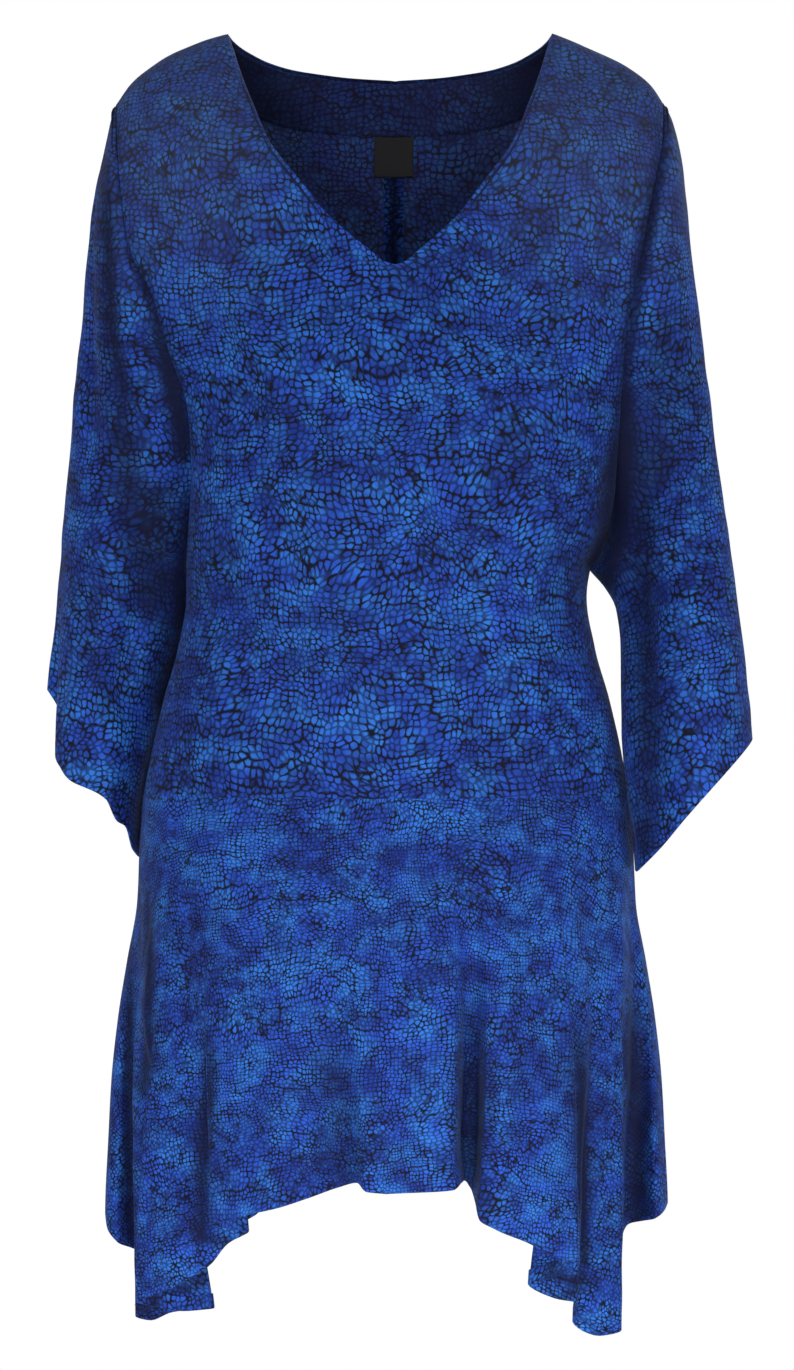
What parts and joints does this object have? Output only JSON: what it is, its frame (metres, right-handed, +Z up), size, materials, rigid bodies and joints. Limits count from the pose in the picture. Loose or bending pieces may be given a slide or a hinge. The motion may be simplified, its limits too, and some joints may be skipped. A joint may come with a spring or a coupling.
{
  "type": "tunic top",
  "caption": "Hollow V-neck tunic top in crackle-print cloth, with wide slanted sleeves, a hip seam and a flounce that falls in points.",
  "frame": {"origin": "midway between the two neck points of the shoulders, where the wearer carries the garment", "axes": "+Z up, -Y towards the front, +X towards the wearer's left"},
  "size_m": [0.5275, 0.312, 0.9646],
  "materials": {
    "print_cloth": "soft matt jersey in bright blue cells with black cracks",
    "facing_cloth": "the same print, in the shade of the neck",
    "label_cloth": "black woven label, plain"
  },
  "bodies": {
    "root": {"front": "print_cloth", "back_left": "print_cloth", "back_right": "print_cloth", "sleeve_left": "print_cloth", "sleeve_right": "print_cloth", "flounce_front": "print_cloth", "flounce_back": "print_cloth", "neck_facing": "facing_cloth", "label": "label_cloth"}
  },
  "joints": []
}
